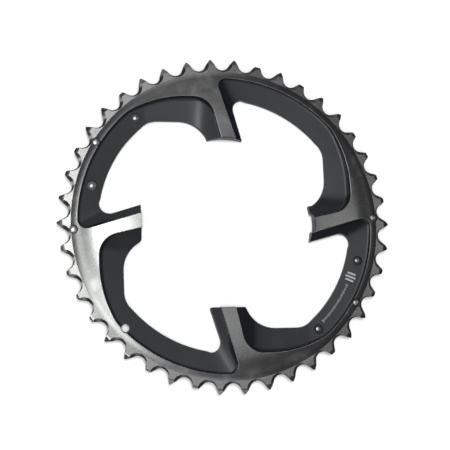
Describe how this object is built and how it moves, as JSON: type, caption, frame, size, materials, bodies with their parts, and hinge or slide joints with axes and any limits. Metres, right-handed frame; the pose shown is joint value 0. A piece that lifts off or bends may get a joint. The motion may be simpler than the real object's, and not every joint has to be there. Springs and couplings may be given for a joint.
{
  "type": "bicycle chainring",
  "caption": "Flat toothed ring with four inward tabs, raised ribs that sweep into the rim, a sunk recess and small shift pins.",
  "frame": {"origin": "centre of the ring, on the back face of the tabs", "axes": "+Z along the ring's axis towards the outboard side, +X through the middle of one tab"},
  "size_m": [0.1734, 0.173, 0.0072],
  "materials": {
    "anodised_aluminium": "satin grey anodised, with a satin black recess",
    "pin_steel": "polished steel"
  },
  "bodies": {
    "root": {"chainring_plate": "anodised_aluminium", "upper_lift_pin_1": "pin_steel", "upper_lift_pin_2": "pin_steel", "upper_lift_pin_3": "pin_steel", "upper_lift_pin_4": "pin_steel", "lower_lift_pin_1": "pin_steel", "lower_lift_pin_2": "pin_steel", "lower_lift_pin_3": "pin_steel", "lower_lift_pin_4": "pin_steel"}
  },
  "joints": []
}
